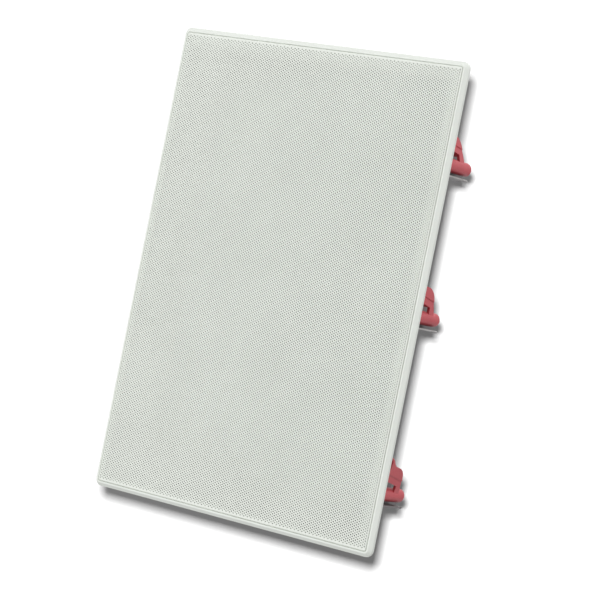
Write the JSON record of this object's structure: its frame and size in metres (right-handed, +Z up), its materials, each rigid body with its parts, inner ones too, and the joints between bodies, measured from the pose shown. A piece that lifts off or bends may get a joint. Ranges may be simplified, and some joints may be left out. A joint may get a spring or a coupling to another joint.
{
  "type": "in-wall speaker",
  "caption": "Flush in-wall loudspeaker: white perforated grille in a thin bezel, woofer and tweeter on a grey baffle behind it, and red clamps that swing out behind the wall.",
  "frame": {"origin": "centre of the flange's rear plane, which lies on the face of the wall", "axes": "+X to the right seen from the room, +Y into the wall, +Z up; the grille faces -Y"},
  "size_m": [0.27, 0.091, 0.372],
  "materials": {
    "white_plastic": "moulded, slightly satin",
    "white_steel": "white powder coat, perforated",
    "white_cloth": "thin woven scrim",
    "nickel": "nickel plated",
    "grey_plastic": "moulded, fine grain",
    "zinc_steel": "zinc plated",
    "red_plastic": "moulded, satin",
    "black_steel": "black paint",
    "rubber": "matt",
    "cone": "satin",
    "spider_cloth": "resin-dipped cloth",
    "dome_cloth": "coated cloth",
    "former_film": "film",
    "copper": "enamelled wire",
    "ferrite": "ground ferrite",
    "tag_fibre": "fibre board",
    "black_plastic": "moulded",
    "dome_metal": "anodised",
    "board": "solder mask",
    "capacitor_sleeve": "shrunk sleeve",
    "resistor_ceramic": "cement"
  },
  "bodies": {
    "speaker": {"frame": "white_plastic", "grille": "white_steel", "grille_scrim": "white_cloth", "grille_magnets": "nickel", "baffle": "grey_plastic", "frame_screws": "zinc_steel", "woofer_screws": "zinc_steel", "tweeter_screws": "zinc_steel", "board_screws": "zinc_steel", "woofer_top_plate": "zinc_steel", "woofer_back_plate": "zinc_steel", "tweeter_top_plate": "zinc_steel", "tweeter_back_plate": "zinc_steel", "woofer_tags": "zinc_steel", "terminal_spring_red": "zinc_steel", "terminal_spring_black": "zinc_steel", "woofer_basket": "black_steel", "woofer_surround": "rubber", "woofer_gasket": "rubber", "woofer_spider": "spider_cloth", "tweeter_surround": "dome_cloth", "woofer_inductor": "copper", "tweeter_inductor": "copper", "woofer_magnet": "ferrite", "tweeter_magnet": "ferrite", "woofer_tag_board": "tag_fibre", "tweeter_faceplate": "black_plastic", "terminal_block": "black_plastic", "inductor_bobbins": "black_plastic", "crossover_board": "board", "woofer_capacitor": "capacitor_sleeve", "tweeter_capacitor": "capacitor_sleeve", "crossover_resistor": "resistor_ceramic"},
    "screw_right_top": {"clamp_screw_right_top": "zinc_steel"},
    "clamp_right_top": {"clamp_right_top": "red_plastic"},
    "screw_right_middle": {"clamp_screw_right_middle": "zinc_steel"},
    "clamp_right_middle": {"clamp_right_middle": "red_plastic"},
    "screw_right_bottom": {"clamp_screw_right_bottom": "zinc_steel"},
    "clamp_right_bottom": {"clamp_right_bottom": "red_plastic"},
    "screw_left_top": {"clamp_screw_left_top": "zinc_steel"},
    "clamp_left_top": {"clamp_left_top": "red_plastic"},
    "screw_left_middle": {"clamp_screw_left_middle": "zinc_steel"},
    "clamp_left_middle": {"clamp_left_middle": "red_plastic"},
    "screw_left_bottom": {"clamp_screw_left_bottom": "zinc_steel"},
    "clamp_left_bottom": {"clamp_left_bottom": "red_plastic"},
    "woofer_cone": {"woofer_cone": "cone", "woofer_dust_cap": "cone", "woofer_coil_former": "former_film", "woofer_voice_coil": "copper"},
    "tweeter_dome": {"tweeter_dome": "dome_metal", "tweeter_voice_coil": "copper"},
    "button_red": {"terminal_button_red": "red_plastic"},
    "button_black": {"terminal_button_black": "black_plastic"}
  },
  "joints": [
    {"name": "clamp_swing_right_top", "type": "hinge", "parent": "speaker", "child": "screw_right_top", "pos_m": [0.117, 0, 0.111], "axis": [0, 1, 0], "range_deg": [-3, 107]},
    {"name": "clamp_travel_right_top", "type": "slide", "parent": "screw_right_top", "child": "clamp_right_top", "axis": [0, 1, 0], "range_m": [-0.007, 0.012]},
    {"name": "clamp_swing_right_middle", "type": "hinge", "parent": "speaker", "child": "screw_right_middle", "pos_m": [0.117, 0, -0.005], "axis": [0, 1, 0], "range_deg": [-18, 92]},
    {"name": "clamp_travel_right_middle", "type": "slide", "parent": "screw_right_middle", "child": "clamp_right_middle", "axis": [0, 1, 0], "range_m": [-0.005, 0.014]},
    {"name": "clamp_swing_right_bottom", "type": "hinge", "parent": "speaker", "child": "screw_right_bottom", "pos_m": [0.117, 0, -0.14], "axis": [0, 1, 0], "range_deg": [-32, 78]},
    {"name": "clamp_travel_right_bottom", "type": "slide", "parent": "screw_right_bottom", "child": "clamp_right_bottom", "axis": [0, 1, 0], "range_m": [-0.005, 0.014]},
    {"name": "clamp_swing_left_top", "type": "hinge", "parent": "speaker", "child": "screw_left_top", "pos_m": [-0.117, 0, 0.14], "axis": [0, 1, 0], "range_deg": [0, 110]},
    {"name": "clamp_travel_left_top", "type": "slide", "parent": "screw_left_top", "child": "clamp_left_top", "axis": [0, 1, 0], "range_m": [-0.005, 0.014]},
    {"name": "clamp_swing_left_middle", "type": "hinge", "parent": "speaker", "child": "screw_left_middle", "pos_m": [-0.117, 0, 0.005], "axis": [0, 1, 0], "range_deg": [0, 110]},
    {"name": "clamp_travel_left_middle", "type": "slide", "parent": "screw_left_middle", "child": "clamp_left_middle", "axis": [0, 1, 0], "range_m": [-0.005, 0.014]},
    {"name": "clamp_swing_left_bottom", "type": "hinge", "parent": "speaker", "child": "screw_left_bottom", "pos_m": [-0.117, 0, -0.111], "axis": [0, 1, 0], "range_deg": [0, 110]},
    {"name": "clamp_travel_left_bottom", "type": "slide", "parent": "screw_left_bottom", "child": "clamp_left_bottom", "axis": [0, 1, 0], "range_m": [-0.005, 0.014]},
    {"name": "woofer_stroke", "type": "slide", "parent": "speaker", "child": "woofer_cone", "axis": [0, -1, 0], "range_m": [-0.0045, 0.0045], "stiffness_N_per_m": 1500, "deforming": ["woofer_surround", "woofer_spider"]},
    {"name": "tweeter_stroke", "type": "slide", "parent": "speaker", "child": "tweeter_dome", "axis": [0, -1, 0], "range_m": [-0.0004, 0.0004], "stiffness_N_per_m": 300, "deforming": ["tweeter_surround"]},
    {"name": "red_terminal_press", "type": "slide", "parent": "speaker", "child": "button_red", "axis": [0, -1, 0], "range_m": [0, 0.0024], "stiffness_N_per_m": 200, "deforming": ["terminal_spring_red"]},
    {"name": "black_terminal_press", "type": "slide", "parent": "speaker", "child": "button_black", "axis": [0, -1, 0], "range_m": [0, 0.0024], "stiffness_N_per_m": 200, "deforming": ["terminal_spring_black"]}
  ]
}
